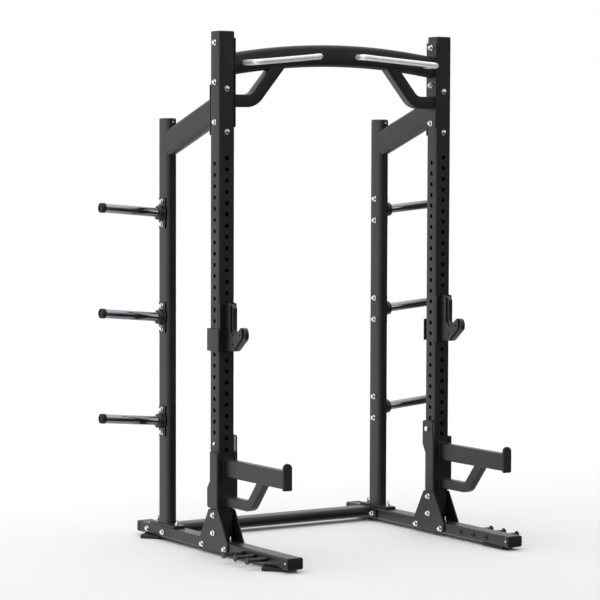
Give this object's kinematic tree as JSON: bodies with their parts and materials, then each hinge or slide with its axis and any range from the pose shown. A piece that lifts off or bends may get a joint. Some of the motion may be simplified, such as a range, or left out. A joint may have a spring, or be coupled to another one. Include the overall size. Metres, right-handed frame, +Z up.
{
  "type": "power cage",
  "caption": "Half-rack power cage with an arched pull-up beam, angled grips, J-hooks, spotter arms, plate storage horns and band pegs.",
  "frame": {"origin": "on the floor, midway between the base rails and midway along them", "axes": "+Z up, -Y to the front where the lifter stands, +X to the right seen from the front"},
  "size_m": [1.8902, 1.324, 2.3383],
  "materials": {
    "powder_coat": "satin black powder coat",
    "chrome": "bright chrome plate, knurled on the grips",
    "zinc": "bright zinc plate",
    "rubber": "matt black rubber",
    "plastic": "black moulded plastic"
  },
  "bodies": {
    "rack": {"left_base_rail": "powder_coat", "left_front_rail_cap": "plastic", "left_rear_rail_cap": "plastic", "left_front_foot": "rubber", "left_rear_foot": "rubber", "left_upright": "powder_coat", "left_upright_cap": "plastic", "left_outer_gusset": "powder_coat", "left_inner_gusset": "powder_coat", "left_rear_upright": "powder_coat", "left_rear_upright_cap": "plastic", "left_top_brace": "powder_coat", "left_beam_plate": "powder_coat", "left_beam_arm": "powder_coat", "left_pull_up_handle": "chrome", "left_upper_horn": "chrome", "left_upper_horn_cap": "rubber", "left_middle_horn": "chrome", "left_middle_horn_cap": "rubber", "left_lower_horn": "chrome", "left_lower_horn_cap": "rubber", "left_spotter_arm": "powder_coat", "left_arm_cap": "rubber", "left_band_peg_1": "powder_coat", "left_band_peg_2": "powder_coat", "left_band_peg_3": "powder_coat", "right_base_rail": "powder_coat", "right_front_rail_cap": "plastic", "right_rear_rail_cap": "plastic", "right_front_foot": "rubber", "right_rear_foot": "rubber", "right_upright": "powder_coat", "right_upright_cap": "plastic", "right_outer_gusset": "powder_coat", "right_inner_gusset": "powder_coat", "right_rear_upright": "powder_coat", "right_rear_upright_cap": "plastic", "right_top_brace": "powder_coat", "right_beam_plate": "powder_coat", "right_beam_arm": "powder_coat", "right_pull_up_handle": "chrome", "right_upper_horn": "chrome", "right_upper_horn_cap": "rubber", "right_middle_horn": "chrome", "right_middle_horn_cap": "rubber", "right_lower_horn": "chrome", "right_lower_horn_cap": "rubber", "right_spotter_arm": "powder_coat", "right_arm_cap": "rubber", "right_band_peg_1": "powder_coat", "right_band_peg_2": "powder_coat", "right_band_peg_3": "powder_coat", "rear_cross_member": "powder_coat", "pull_up_beam": "powder_coat"},
    "left_hook": {"left_j_hook": "powder_coat", "left_j_hook_liner": "plastic"},
    "right_hook": {"right_j_hook": "powder_coat", "right_j_hook_liner": "plastic"},
    "left_pin": {"left_lock_pin": "zinc"},
    "right_pin": {"right_lock_pin": "zinc"}
  },
  "joints": [
    {"name": "left_hook_slide", "type": "slide", "parent": "rack", "child": "left_hook", "axis": [-1, 0, 0], "range_m": [0, 0.12]},
    {"name": "right_hook_slide", "type": "slide", "parent": "rack", "child": "right_hook", "axis": [1, 0, 0], "range_m": [0, 0.12]},
    {"name": "left_pin_slide", "type": "slide", "parent": "rack", "child": "left_pin", "axis": [1, 0, 0], "range_m": [0, 0.105]},
    {"name": "right_pin_slide", "type": "slide", "parent": "rack", "child": "right_pin", "axis": [-1, 0, 0], "range_m": [0, 0.105]}
  ]
}
